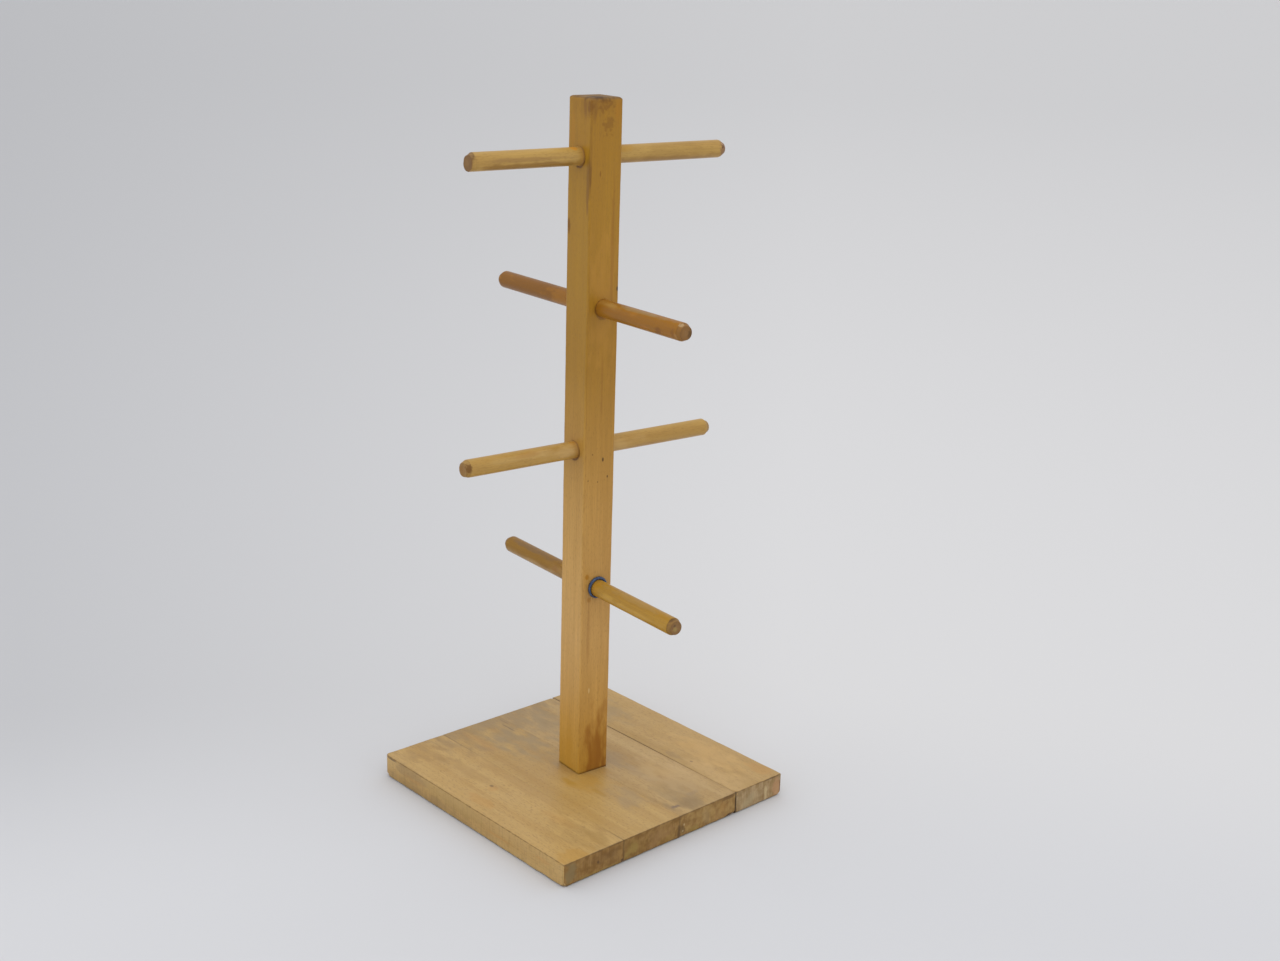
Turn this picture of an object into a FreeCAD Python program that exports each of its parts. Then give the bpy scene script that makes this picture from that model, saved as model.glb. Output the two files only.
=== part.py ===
# Wooden mug stand: a base of four edge-glued boards, a square post held by one screw,
# four dowels that pass through the post as eight arms, and an elastic ring on the lowest arm.
# Frame: origin at the middle of the base's underside, Z up, X across the boards, Y along their grain.
import FreeCAD, Part
import os
import re
import Sketcher

# Driving sizes in millimetres, and one angle in degrees
SIZES = {
    # base
    "board_1_width": 43,
    "board_2_width": 43,
    "board_3_width": 45,
    "board_4_width": 38.7,
    "open_joint": 0.3,
    "board_length": 170,
    "board_thickness": 14,
    "board_round": 1,
    # post
    "post_side": 21,
    "post_length": 395,
    "post_round": 1.2,
    "post_turn": 5,
    # arms
    "arm_diameter": 10,
    "arm_1_length": 170,
    "arm_2_length": 175,
    "arm_3_length": 170,
    "arm_4_length": 167,
    "arm_bevel_depth": 1.8,
    "arm_bevel_length": 2.5,
    "arm_fit": 0.1,
    "top_arm_drop": 31.4,
    "arm_pitch": 82.1,
    "arm_1_shift": 4,
    "arm_2_shift": 3.3,
    "arm_3_shift": 1,
    "arm_4_shift": -1.5,
    # elastic ring
    "ring_section": 1.8,
    "ring_fit": 0.05,
    # screw
    "screw_diameter": 4.2,
    "screw_length": 38,
    "screw_tip_length": 6,
    "screw_head_diameter": 8.2,
    "screw_head_height": 2.4,
    "screw_head_rim": 0.4,
    "screw_slot_width": 1.2,
    "screw_slot_depth": 1.2,
    "screw_recess": 0.6,
    "screw_board_clearance": 0.2,
    "screw_post_clearance": 0.1,
    "screw_tip_room": 2,
}

# Sizes that follow from the driving ones
DERIVED = {
    "base_width": "board_1_width + board_2_width + board_3_width + open_joint + board_4_width",
    "board_1_start": "-base_width / 2",
    "board_2_start": "board_1_start + board_1_width",
    "board_3_start": "board_2_start + board_2_width",
    "board_4_start": "board_3_start + board_3_width + open_joint",
    "arm_radius": "arm_diameter / 2",
    "arm_bore_radius": "arm_radius + arm_fit",
    "top_arm_rise": "post_length - top_arm_drop",
    "ring_radius": "arm_radius + ring_fit + ring_section / 2",
    "screw_radius": "screw_diameter / 2",
    "screw_head_radius": "screw_head_diameter / 2",
    "screw_top": "screw_recess + screw_length",
    "pilot_depth": "screw_top - board_thickness + screw_tip_room",
}

doc = FreeCAD.newDocument("mug_stand")
sheet = doc.addObject("Spreadsheet::Sheet", "Sizes")
for row, (alias, value) in enumerate({**SIZES, **DERIVED}.items(), start=1):
    sheet.set(f"A{row}", alias)
    sheet.set(f"B{row}", f"={value}" if alias in DERIVED else str(value))
    sheet.setAlias(f"B{row}", alias)
doc.recompute()


def sized(text):
    """The expression with each size's name pointed at its cell in the sheet."""
    return re.sub(r"[a-z]\w+", lambda name: f"Sizes.{name.group()}", text)


def value_of(text):
    """The number that an expression of sizes gives now."""
    return float(sheet.evalExpression(sized(text)))


def new_body(name):
    """An empty body whose label names its file."""
    body = doc.addObject("PartDesign::Body", name)
    body.Label = name
    return body


def origin_feature(body, role):
    """One of the body's own base planes or axes."""
    return next(item for item in body.Origin.OriginFeatures if item.Role == role)


def new_sketch(body, name, plane):
    """An empty sketch on one of the body's base planes."""
    sketch = body.newObject("Sketcher::SketchObject", f"{body.Name}_{name}")
    sketch.AttachmentSupport = (origin_feature(body, plane), [""])
    sketch.MapMode = "FlatFace"
    return sketch


def dimension(sketch, kind, item, point, name, text):
    """Ties a point's distance from the sketch's origin, along one axis, to a size."""
    value = value_of(text)
    index = sketch.addConstraint(Sketcher.Constraint(kind, -1, 1, item, point, value))
    sketch.renameConstraint(index, name)
    sketch.setExpression(f"Constraints.{name}", sized(text))


def draw_outline(sketch, corners):
    """A closed outline of straight lines, with each corner's place tied to the sizes."""
    spots = [FreeCAD.Vector(value_of(x), value_of(y), 0) for x, y in corners]
    ends = spots[1:] + spots[:1]
    for start, end in zip(spots, ends):
        sketch.addGeometry(Part.LineSegment(start, end), False)
    for item in range(len(corners)):
        following = (item + 1) % len(corners)
        sketch.addConstraint(Sketcher.Constraint("Coincident", item, 2, following, 1))
    for item, (x, y) in enumerate(corners):
        dimension(sketch, "DistanceX", item, 1, f"x{item + 1}", x)
        dimension(sketch, "DistanceY", item, 1, f"y{item + 1}", y)


def draw_circle(sketch, x, y, radius):
    """A circle whose centre and radius are tied to the sizes."""
    centre = FreeCAD.Vector(value_of(x), value_of(y), 0)
    circle = Part.Circle(centre, FreeCAD.Vector(0, 0, 1), value_of(radius))
    item = sketch.addGeometry(circle, False)
    dimension(sketch, "DistanceX", item, 3, "x", x)
    dimension(sketch, "DistanceY", item, 3, "y", y)
    index = sketch.addConstraint(Sketcher.Constraint("Radius", item, circle.Radius))
    sketch.renameConstraint(index, "radius")
    sketch.setExpression("Constraints.radius", sized(radius))


def rectangle(x0, x1, y0, y1):
    """The four corners of a rectangle, going round."""
    return [(x0, y0), (x1, y0), (x1, y1), (x0, y1)]


def pad(body, sketch, height):
    """Extrudes a sketch upwards."""
    feature = body.newObject("PartDesign::Pad", f"{body.Name}_pad")
    feature.Profile = sketch
    feature.setExpression("Length", sized(height))
    doc.recompute()
    return feature


def revolve(body, sketch, axis, kind="Revolution"):
    """Turns a sketch a full circle about one of its own axes, to add or to cut."""
    feature = body.newObject(f"PartDesign::{kind}", f"{sketch.Name}_{kind.lower()}")
    feature.Profile = sketch
    feature.ReferenceAxis = (sketch, [axis])
    feature.Angle = 360
    doc.recompute()
    return feature


def pocket(body, sketch, depth=None):
    """Cuts a sketch upwards to a depth, or right through both ways."""
    volume = body.Shape.Volume
    feature = body.newObject("PartDesign::Pocket", f"{sketch.Name}_pocket")
    feature.Profile = sketch
    if depth is None:
        feature.Type = "ThroughAll"
        feature.SideType = "Symmetric"
    else:
        feature.Reversed = True
        feature.setExpression("Length", sized(depth))
    doc.recompute()
    if body.Shape.Volume >= volume:
        raise RuntimeError(f"{feature.Name} cut nothing")
    return feature


def round_edges(body, base, wanted, radius):
    """Rounds the edges of a feature that a test on their two ends picks out."""
    names = []
    for number, edge in enumerate(base.Shape.Edges, start=1):
        if wanted(*[vertex.Point for vertex in edge.Vertexes]):
            names.append(f"Edge{number}")
    feature = body.newObject("PartDesign::Fillet", f"{body.Name}_round")
    feature.Base = (base, names)
    feature.setExpression("Radius", sized(radius))
    doc.recompute()
    return feature


def place(item, height, turn="0"):
    """Sets an item at a height on the post's axis, turned about it."""
    upright = FreeCAD.Rotation(FreeCAD.Vector(0, 0, 1), value_of(turn))
    item.Placement = FreeCAD.Placement(FreeCAD.Vector(), upright)
    item.setExpression("Placement.Base.z", sized(height))
    item.setExpression("Placement.Rotation.Angle", f"({sized(turn)}) * 1 deg")


# Base boards: side by side along X, rounded wherever the finished base has an outside edge
def make_board(number, outer_side, screw_hole):
    """One board of the base, with outer_side -1 or 1 for a board at the edge."""
    body = new_body(f"base_board_{number}")
    start = f"board_{number}_start"
    end = f"{start} + board_{number}_width"
    sketch = new_sketch(body, "plan", "XY_Plane")
    draw_outline(sketch, rectangle(start, end, "-board_length / 2", "board_length / 2"))
    blank = pad(body, sketch, "board_thickness")
    joint_sides = [value_of(start), value_of(end)]
    if outer_side:
        joint_sides.remove(value_of(start if outer_side < 0 else end))

    def is_outside(first, last):
        """True for an edge that doesn't run along a glue joint."""
        return not any(max(abs(first.x - side), abs(last.x - side)) < 1e-6 for side in joint_sides)

    round_edges(body, blank, is_outside, "board_round")
    if screw_hole:
        hole = new_sketch(body, "screw_hole", "XZ_Plane")
        wide = "screw_head_radius + screw_board_clearance"
        narrow = "screw_radius + screw_board_clearance"
        seat = "screw_recess + screw_head_rim"
        neck = "screw_recess + screw_head_height"
        draw_outline(hole, [
            ("0", "0"),
            (wide, "0"),
            (wide, seat),
            (narrow, neck),
            (narrow, "board_thickness"),
            ("0", "board_thickness"),
        ])
        revolve(body, hole, "V_Axis", "Groove")
    return body


boards = [
    make_board(1, -1, False),
    make_board(2, 0, True),
    make_board(3, 0, True),
    make_board(4, 1, False),
]

# Post: square, rounded along its edges and round its top, bored through for the arms and up for the screw
post = new_body("post")
section = new_sketch(post, "section", "XY_Plane")
draw_outline(section, rectangle("-post_side / 2", "post_side / 2", "-post_side / 2", "post_side / 2"))
blank = pad(post, section, "post_length")
round_edges(post, blank, lambda first, last: max(first.z, last.z) > 0, "post_round")

# The arms cross in pairs: the first and third along the post's X, the second and fourth along its Y
for name, plane, rise in (
    ("bore_x", "YZ_Plane", "top_arm_rise"),
    ("bore_y", "XZ_Plane", "top_arm_rise - arm_pitch"),
):
    bore = new_sketch(post, name, plane)
    draw_circle(bore, "0", rise, "arm_bore_radius")
    cut = pocket(post, bore)
    pair = post.newObject("PartDesign::LinearPattern", f"post_{name}_pair")
    pair.Originals = [cut]
    pair.Direction = (origin_feature(post, "Z_Axis"), [""])
    pair.Reversed = True
    pair.Mode = "Extent"
    pair.Occurrences = 2
    pair.setExpression("Length", sized("2 * arm_pitch"))
    post.Tip = pair
    doc.recompute()

pilot = new_sketch(post, "pilot", "XY_Plane")
draw_circle(pilot, "0", "0", "screw_radius + screw_post_clearance")
pocket(post, pilot, "pilot_depth")
place(post, "board_thickness", "-post_turn")


# Arms: dowels turned about X, bevelled at both ends and pushed through the post a little unevenly
def make_arm(number):
    """One dowel, placed on the post's axis at its own height."""
    body = new_body(f"arm_{number}")
    left = f"arm_{number}_shift - arm_{number}_length / 2"
    right = f"arm_{number}_shift + arm_{number}_length / 2"
    sketch = new_sketch(body, "profile", "XY_Plane")
    draw_outline(sketch, [
        (left, "0"),
        (right, "0"),
        (right, "arm_radius - arm_bevel_depth"),
        (f"{right} - arm_bevel_length", "arm_radius"),
        (f"{left} + arm_bevel_length", "arm_radius"),
        (left, "arm_radius - arm_bevel_depth"),
    ])
    revolve(body, sketch, "H_Axis")
    height = f"board_thickness + top_arm_rise - {number - 1} * arm_pitch"
    place(body, height, "-post_turn" if number % 2 else "90 - post_turn")
    return body


arms = [make_arm(number) for number in (1, 2, 3, 4)]

# Elastic ring: round in section, on the lowest arm where it leaves the post
ring_body = new_body("arm_ring")
ring_sketch = new_sketch(ring_body, "section", "XY_Plane")
draw_circle(ring_sketch, "-post_side / 2 - ring_fit - ring_section / 2", "ring_radius", "ring_section / 2")
revolve(ring_body, ring_sketch, "H_Axis")
place(ring_body, "board_thickness + top_arm_rise - 3 * arm_pitch", "90 - post_turn")

# Screw: countersunk head sunk in the underside, plain shank as wide as its thread, slot across the head
screw = new_body("post_screw")
profile = new_sketch(screw, "profile", "XZ_Plane")
draw_outline(profile, [
    ("0", "0"),
    ("screw_head_radius", "0"),
    ("screw_head_radius", "screw_head_rim"),
    ("screw_radius", "screw_head_height"),
    ("screw_radius", "screw_length - screw_tip_length"),
    ("0", "screw_length"),
])
revolve(screw, profile, "V_Axis")
slot = new_sketch(screw, "slot", "XY_Plane")
draw_outline(slot, rectangle(
    "-screw_head_radius - screw_slot_width", "screw_head_radius + screw_slot_width",
    "-screw_slot_width / 2", "screw_slot_width / 2",
))
pocket(screw, slot, "screw_slot_depth")
place(screw, "screw_recess")

# Nothing is written unless every object built and every piece is one sound solid
doc.recompute()
pieces = [*boards, post, *arms, ring_body, screw]
failed = [item.Name for item in doc.Objects if {"Invalid", "Error"} & set(item.State)]
if failed:
    raise RuntimeError(f"these objects failed: {failed}")
for piece in pieces:
    shape = piece.Shape
    if shape.isNull() or not shape.isValid() or len(shape.Solids) != 1:
        raise RuntimeError(f"{piece.Label} is not one sound solid")

os.makedirs("parts", exist_ok=True)
for piece in pieces:
    piece.Shape.exportStep(f"parts/{piece.Label}.step")
    print(f"{piece.Label}: {piece.Shape.Volume / 1000:.2f} cm3")
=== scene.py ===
# %% [markdown]
# # A wooden mug stand
# The real object is a small stand for a kitchen worktop. A square base is glued up from four beech
# boards, a square beech post stands on it, and four round dowels pass right through the post, so
# that eight arms stick out for mugs to hang on.
#
# The measured solids come in first, as a fixed frame in metres. They have the right sizes but clean
# factory edges, so each is replaced below by a mesh with worn arrises, uneven bevels and dirt in its
# joints.

# %% Load the measured frame
from functools import partial
from math import cos, exp, hypot, pi, radians, sin, sqrt

import bpy
from mathutils import Matrix, Vector, noise


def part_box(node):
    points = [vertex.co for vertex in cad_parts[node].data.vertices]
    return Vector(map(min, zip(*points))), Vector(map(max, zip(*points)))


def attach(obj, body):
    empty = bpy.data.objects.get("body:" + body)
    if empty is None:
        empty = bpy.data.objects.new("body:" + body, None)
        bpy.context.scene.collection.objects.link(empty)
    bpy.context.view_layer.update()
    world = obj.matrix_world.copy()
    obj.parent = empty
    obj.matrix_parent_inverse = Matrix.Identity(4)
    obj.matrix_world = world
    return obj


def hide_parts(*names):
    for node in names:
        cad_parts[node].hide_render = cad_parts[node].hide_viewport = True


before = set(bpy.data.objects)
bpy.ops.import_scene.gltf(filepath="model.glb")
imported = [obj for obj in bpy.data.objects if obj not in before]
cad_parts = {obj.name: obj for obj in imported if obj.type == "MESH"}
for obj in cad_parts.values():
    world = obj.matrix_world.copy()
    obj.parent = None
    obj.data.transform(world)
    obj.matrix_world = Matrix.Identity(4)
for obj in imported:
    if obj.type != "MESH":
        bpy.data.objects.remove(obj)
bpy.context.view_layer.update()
scene = bpy.context.scene
MM = 0.001
print("solids:", ", ".join(sorted(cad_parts)))

# %% [markdown]
# ## The camera
# The photograph looks at the front corner of the base from a little above, rolled slightly to one
# side. A camera can be aimed at a target with a constraint, but that loses the roll. Here it is placed
# by three turns, heading, tilt and roll, worked out from known corners of the stand.

# %% Place the camera
CAMERA_PLACE = Vector((-0.6018, -0.6964, 0.4801))
HEADING, TILT, ROLL = (radians(angle) for angle in (-42.677, 90 - 17.26, 1.726))
camera = bpy.data.objects.new("photo_camera", bpy.data.cameras.new("photo_camera"))
camera.data.sensor_width, camera.data.lens = 36.0, 47.285
camera.matrix_world = (
    Matrix.Translation(CAMERA_PLACE)
    @ Matrix.Rotation(HEADING, 4, "Z") @ Matrix.Rotation(TILT, 4, "X") @ Matrix.Rotation(ROLL, 4, "Z")
)
scene.collection.objects.link(camera)
scene.camera = camera
print("camera height, mm:", round(CAMERA_PLACE.z / MM))

# %% [markdown]
# ## Colours and nodes
# Colours are easiest to think of as the sRGB hex values that a picture shows, but shaders add up
# light, so they need linear values. One function turns the first into the second. A second function
# adds any node, sets what is fixed on it and links what varies. Bound to one finish, it is called add.

# %% Helpers for every finish
def linear(hex_colour):
    """An sRGB colour such as "#B08D5A" as the linear RGBA that shaders work in."""
    shares = [int(hex_colour[i:i + 2], 16) / 255 for i in (1, 3, 5)]
    return [s / 12.92 if s <= 0.04045 else ((s + 0.055) / 1.055) ** 2.4 for s in shares] + [1.0]


def link(tree, source, socket):
    """Links an output socket, or the first output of a node, to an input socket."""
    tree.links.new(source.outputs[0] if isinstance(source, bpy.types.Node) else source, socket)


def node(tree, kind, settings, *sources, links=None):
    """Adds a shader node. settings are properties or input values, or one word for the operation.

    Sources feed its first inputs in order, and links feed inputs by name or number."""
    made = tree.nodes.new("ShaderNode" + kind)
    if isinstance(settings, str):
        settings = {"operation": settings}
    for key, value in settings.items():
        if isinstance(key, str) and hasattr(made, key):
            setattr(made, key, value)
        else:
            made.inputs[key].default_value = value
    for key, source in (*enumerate(sources), *(links or {}).items()):
        link(tree, source, made.inputs[key])
    return made


def new_finish(name, fixed):
    """A material with fixed values on its shader, a function that adds nodes to it, its coordinates."""
    material = bpy.data.materials.new(name)
    material.use_nodes = True
    for key, value in fixed.items():
        material.node_tree.nodes["Principled BSDF"].inputs[key].default_value = value
    add = partial(node, material.node_tree)
    return material, add, add("TexCoord", {}).outputs


def put_on(piece, finish, colour, gloss=None, height=None, strength=0.5, depth=0.1):
    """Gives a piece a finish with this colour, roughness and relief, depth mm deep."""
    tree = finish.node_tree
    varying = {"Base Color": colour, "Roughness": gloss}
    if height is not None:
        varying["Normal"] = node(tree, "Bump", {"Strength": strength, "Distance": depth * MM},
                                 links={"Height": height})
    for key, source in varying.items():
        if source is not None:
            link(tree, source, tree.nodes["Principled BSDF"].inputs[key])
    piece.data.materials.clear()
    piece.data.materials.append(finish)


print("beech tan, linear:", [round(c, 3) for c in linear("#B08D5A")])

# %% [markdown]
# ## Layers of colour
# A finish builds up as paint does: a ground colour first, then shades over it, each let through by a
# mask from 0 to 1. The paper on the floor is the plainest case: painted shade greys it off ahead of the
# camera and to its left, where the light falls off, and a little close to the camera and far away.

# %% Lay shades over a colour and finish the paper
# Sockets of a Mix node for colours: the colour below, the one laid over it, and the result.
BELOW, ABOVE, MIXED = 6, 7, 2
# Inputs of a Map Range node: where it starts to rise, where it is full, and what it gives at each.
START, FULL, LEAST, MOST = "From Min", "From Max", "To Min", "To Max"
EASED = {"interpolation_type": "SMOOTHSTEP"}
TO_CAMERA = (0, 0, HEADING + pi / 2)


def lay_over(add, colour, layers):
    """Lays shades over a colour, one after another, each by its own mask."""
    if isinstance(colour, str):
        ground = add("RGB", {}).outputs[0]
        ground.default_value = linear(colour)
        colour = ground
    for mask, shade in layers:
        mix = add("Mix", {"data_type": "RGBA", ABOVE: linear(shade)}, mask, links={BELOW: colour})
        colour = mix.outputs[MIXED]
    return colour


def painted_falloff(add, flat):
    """How much painted shade greys the paper, from 0 to 0.95: most ahead of the camera and to its left."""
    heading = add("VectorMath", "NORMALIZE", flat)
    ahead = add("SeparateXYZ", {}, heading).outputs["X"]
    most = add("MapRange", {**EASED, START: 0.1, FULL: 0.88, MOST: 0.95}, ahead)
    turn = add("TexGradient", {"gradient_type": "RADIAL"}, flat).outputs["Fac"]
    return add("MapRange", {START: 0.485, FULL: 0.56}, turn, links={MOST: most})


paper, add, where = new_finish("matt_grey_paper", {"Roughness": 0.9, "Specular IOR Level": 0.15})
below_camera = (CAMERA_PLACE.x, CAMERA_PLACE.y, 0)
spread = add("Mapping", {"vector_type": "TEXTURE", "Location": below_camera, "Rotation": TO_CAMERA},
             where["Object"])
away = add("VectorMath", "LENGTH", spread).outputs["Value"]
# Close to the camera and far off, the paper is painted greyer too: painted falloff of the light.
near = add("MapRange", {**EASED, START: 1.1, FULL: 0.8}, away)
far = add("MapRange", {**EASED, START: 1.5, FULL: 7.0, MOST: 0.2}, away)
tone = lay_over(add, "#DBDBDC", [(painted_falloff(add, spread), "#C2C3C6"), (near, "#D5D6D9"), (far, "#B8B9BB")])
print("paper has", len(paper.node_tree.nodes), "nodes")

# %% [markdown]
# ## Floor and light
# The stand was photographed on a pale grey sweep of paper under soft light from nearly all round,
# with a little more from above, so its shadows are faint. A bright dome gives the light from all
# round, and one wide lamp overhead adds the rest. What the camera and shiny surfaces see of the dome
# is the paper's grey instead, so that the floor runs on without a visible edge.

# %% Paper floor, dome and overhead lamp
REACH, LOWERED = 40.0, -0.05 * MM
corners = [(x * REACH, y * REACH, LOWERED) for x, y in ((-1, -1), (1, -1), (1, 1), (-1, 1))]
floor = bpy.data.objects.new("paper_floor", bpy.data.meshes.new("paper_floor"))
floor.data.from_pydata(corners, [], [(0, 1, 2, 3)])
scene.collection.objects.link(floor)
put_on(floor, paper, tone)

DOME_LIGHT = (0.93, 0.93, 0.94, 1.0)
dome = bpy.data.worlds.new("studio_dome")
dome.use_nodes = True
add = partial(node, dome.node_tree)
rays = add("LightPath", {}).outputs
shown = rays["Is Camera Ray"]
for other in ("Is Glossy Ray", "Is Transmission Ray"):
    shown = add("Math", "MAXIMUM", shown, rays[other])
level = add("VectorMath", {"operation": "MULTIPLY", 1: (1, 1, 0)}, add("TexCoord", {}).outputs["Generated"])
flat = add("Mapping", {"vector_type": "TEXTURE", "Rotation": TO_CAMERA}, level)
# What the camera and shiny surfaces see of the dome carries the same painted falloff of the light.
backdrop = lay_over(add, "#CDCED0", [(painted_falloff(add, flat), "#B9BABD")])
seen = add("Mix", {"data_type": "RGBA", BELOW: DOME_LIGHT}, shown, links={ABOVE: backdrop})
link(dome.node_tree, seen.outputs[MIXED], dome.node_tree.nodes["Background"].inputs["Color"])
scene.world = dome

lamp = bpy.data.objects.new("overhead_lamp", bpy.data.lights.new("overhead_lamp", "AREA"))
lamp.data.shape, lamp.data.size, lamp.data.energy = "SQUARE", 1.6, 4.0
lamp.matrix_world = Matrix.Translation((-0.25, -0.1, 1.9))
scene.collection.objects.link(lamp)
scene.view_settings.view_transform = "Standard"
print("lamp power, W:", lamp.data.energy)

# %% [markdown]
# ## Worn blocks
# Boards and a post are boxes, but old wooden boxes never have knife-sharp or even edges: hands,
# cloths and knocks round them. A bevel modifier gives an even edge. Here the box is built from mesh
# lines that crowd together near its edges, and each point near an edge is then eased onto a round
# whose radius wanders along the edge.

# %% Build a block with wandering edges
def mesh_lines(low, high, step):
    """Places of the mesh lines along one side, in mm: crowded at both ends, step apart between."""
    crowd = (0, 0.12, 0.3, 0.5, 0.75, 1.05, 1.4, 1.9, 2.6, 3.6)
    inner = high - low - 2 * crowd[-1]
    count = max(1, round(inner / step))
    between = [low + crowd[-1] + inner * i / count for i in range(1, count)]
    return [low + c for c in crowd] + between + [high - c for c in reversed(crowd)]


def block_shell(lines):
    """Points and faces of a closed box divided at the given x, y and z lines."""
    number, faces = {}, []
    for axis in range(3):
        a, b = (axis + 1) % 3, (axis + 2) % 3
        for side in (0, len(lines[axis]) - 1):
            for i in range(len(lines[a]) - 1):
                for j in range(len(lines[b]) - 1):
                    face = []
                    for step_a, step_b in ((0, 0), (1, 0), (1, 1), (0, 1)):
                        spot = [side] * 3
                        spot[a], spot[b] = i + step_a, j + step_b
                        face.append(number.setdefault(tuple(spot), len(number)))
                    faces.append(face if side else face[::-1])
    return [Vector([line[k] for line, k in zip(lines, spot)]) for spot in number], faces


def ease_edges(points, low, high, radius_at):
    """Moves points near an edge onto a round. radius_at(axis, sides, along) is its radius in mm."""
    for point in points:
        for axis in range(3):
            pair = ((axis + 1) % 3, (axis + 2) % 3)
            sides = [int(point[i] > (low[i] + high[i]) / 2) for i in pair]
            radius = radius_at(axis, sides, point[axis])
            edge = [(low, high)[side][i] for side, i in zip(sides, pair)]
            u, v = (1 - abs(point[i] - e) / radius for i, e in zip(pair, edge))
            if u > 0 and v > 0:
                u, v = u * sqrt(1 - v * v / 2), v * sqrt(1 - u * u / 2)
                for i, e, side, share in zip(pair, edge, sides, (u, v)):
                    point[i] = e + (1 - share) * radius * (1, -1)[side]


def wander(value, size, seed):
    """Smooth noise from about -1 to 1 along a line, with bumps about size mm long."""
    return noise.noise(Vector((value / size, seed * 7.31, seed * 3.17)))


print("lines along a 170 mm side:", len(mesh_lines(0, 170, 2.5)))

# %% [markdown]
# ## From points to a piece
# Every piece below takes the place of one measured solid and rides on the stand's one body. Numbers
# such as how near a point is to an edge are kept on the mesh, where the finish can read them to put
# dirt and rubbed varnish in the right places.

# %% Turn points into a piece of the stand
def smooth(piece):
    """Shades a mesh smooth, but keeps edges of more than 35 degrees crisp."""
    piece.data.shade_smooth()
    piece.data.set_sharp_from_angle(angle=radians(35))


def new_piece(name, points, faces, marks=None):
    """A smooth-shaded mesh object from points in mm. marks are named numbers kept on its points."""
    mesh = bpy.data.meshes.new(name)
    mesh.from_pydata([point * MM for point in points], [], faces)
    for mark, values in (marks or {}).items():
        mesh.attributes.new(mark, "FLOAT", "POINT").data.foreach_set("value", values)
    piece = bpy.data.objects.new(name, mesh)
    scene.collection.objects.link(piece)
    smooth(piece)
    return piece


def stand_in_for(piece, solid):
    """The piece takes the place of a measured solid and rides on the stand."""
    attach(piece, "root")
    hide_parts(solid)
    print(piece.name, "has", len(piece.data.polygons), "faces and stands for", solid)


def cut_out(piece, points, faces):
    """Cuts a closed form out of a piece's mesh."""
    cutter = new_piece("cutter", points, faces)
    cut = piece.modifiers.new("cut", "BOOLEAN")
    cut.object, cut.solver = cutter, "EXACT"
    whole = piece.data
    result = piece.evaluated_get(bpy.context.evaluated_depsgraph_get())
    piece.data = bpy.data.meshes.new_from_object(result)
    piece.modifiers.clear()
    bpy.data.meshes.remove(whole)
    bpy.data.meshes.remove(cutter.data)
    smooth(piece)


print("solids to replace:", len(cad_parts))

# %% [markdown]
# ## Turned forms
# Dowels, the elastic ring and the screw are all round. This function turns a profile about an axis, as
# a lathe does, and can also move each point a little, because a bevel cut by hand is never quite even
# and a screw needs its thread.

# %% Turn a profile about an axis
def turned(profile, sides, shape=None, closed=False):
    """Points and faces of (height, radius) pairs in mm turned about Z. shape moves a point a little."""
    points, faces = [], []
    for height, radius in profile:
        for s in range(sides):
            angle = 2 * pi * s / sides
            h, r = shape(height, radius, angle) if shape else (height, radius)
            points.append(Vector((r * cos(angle), r * sin(angle), h)))
    rings = len(profile)
    for i in range(rings if closed else rings - 1):
        for s in range(sides):
            t, j = (s + 1) % sides, (i + 1) % rings
            faces.append((i * sides + s, i * sides + t, j * sides + t, j * sides + s))
    if not closed:
        faces += [tuple(range(sides))[::-1], tuple((rings - 1) * sides + s for s in range(sides))]
    return points, faces


print("a plain peg has", len(turned([(0, 1), (1, 1)], 32)[1]), "faces")

# %% [markdown]
# ## How boards wear
# The base is four beech boards glued edge to edge, with the grain from front to back. The outer edges
# are rounded and knocked about, the glued ones are nearly closed, and a few corners are chipped. Each
# kind of wear is a small function of the place, so that no two edges come out alike.

# %% Joints, rounded edges and chips
JOINTS = {1: (None, "first"), 2: ("first", "second"), 3: ("second", "last"), 4: ("last", None)}
# Radii of upright corners in mm, by board and front (0) or back (1).
CORNER_ROUNDS = {(1, 0): 0.8, (1, 1): 2.8, (4, 0): 1.0, (4, 1): 2.0}
# Each chip: a corner of the board, the way the chipped face looks, and how deep it is cut, in mm.
CHIPS = {
    1: [((-85, 85, 14), (-1, 0.35, 0.8), 1.3), ((-85, 85, 0), (-1, 0.8, -1), 2.6),
        ((-85, -85, 0), (-1, -1, -1.1), 2.0)],
    3: [((46, -85, 0), (0.25, -1, -0.9), 1.5), ((46, 85, 14), (0.7, 1, 0.6), 1.6)],
    4: [((46.3, -85, 14), (-0.7, -1, 0.8), 1.7), ((85, -85, 14), (1, -0.6, 0.7), 0.6),
        ((85, -85, 0), (1, -0.8, -1), 1.8)],
}


def ramp(value, start, end):
    """0 at start, 1 at end, straight between."""
    return min(1, max(0, (value - start) / (end - start)))


def joint_dirt(joint, y):
    """How much dirt a glued joint holds at a place along it, from 0 to 1."""
    spotty = 0.5 + 0.5 * wander(y, 6, len(joint))
    if joint == "first":
        return 0.03 + 0.07 * spotty + 0.6 * ramp(y, -66, -82) + 0.4 * ramp(y, 45, 80)
    if joint == "second":
        return 0.03 + 0.04 * spotty + 0.4 * ramp(y, -83.5, -84.5)
    return 0.1 + 0.1 * spotty + 0.35 * ramp(y, -75, -5) + 0.8 * ramp(y, -83, -84.5)


def board_radius(number, axis, sides, along):
    """The radius of a board's edges in mm: tight at the joints, uneven along the outer edges."""
    x_side = {1: sides[1], 2: sides[0]}.get(axis)
    if x_side is not None and JOINTS[number][x_side]:
        return 0.25 if JOINTS[number][x_side] == "last" else 0.08
    if axis == 2:
        return CORNER_ROUNDS[number, sides[1]]
    upper = sides[1 if axis == 0 else 0]
    slow, quick = wander(along, 9, number + 5 * axis + 2 * sum(sides)), wander(along, 2.6, number + axis)
    return (0.75 if upper else 1.5) * (1 + 0.4 * slow + 0.2 * quick)


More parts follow.
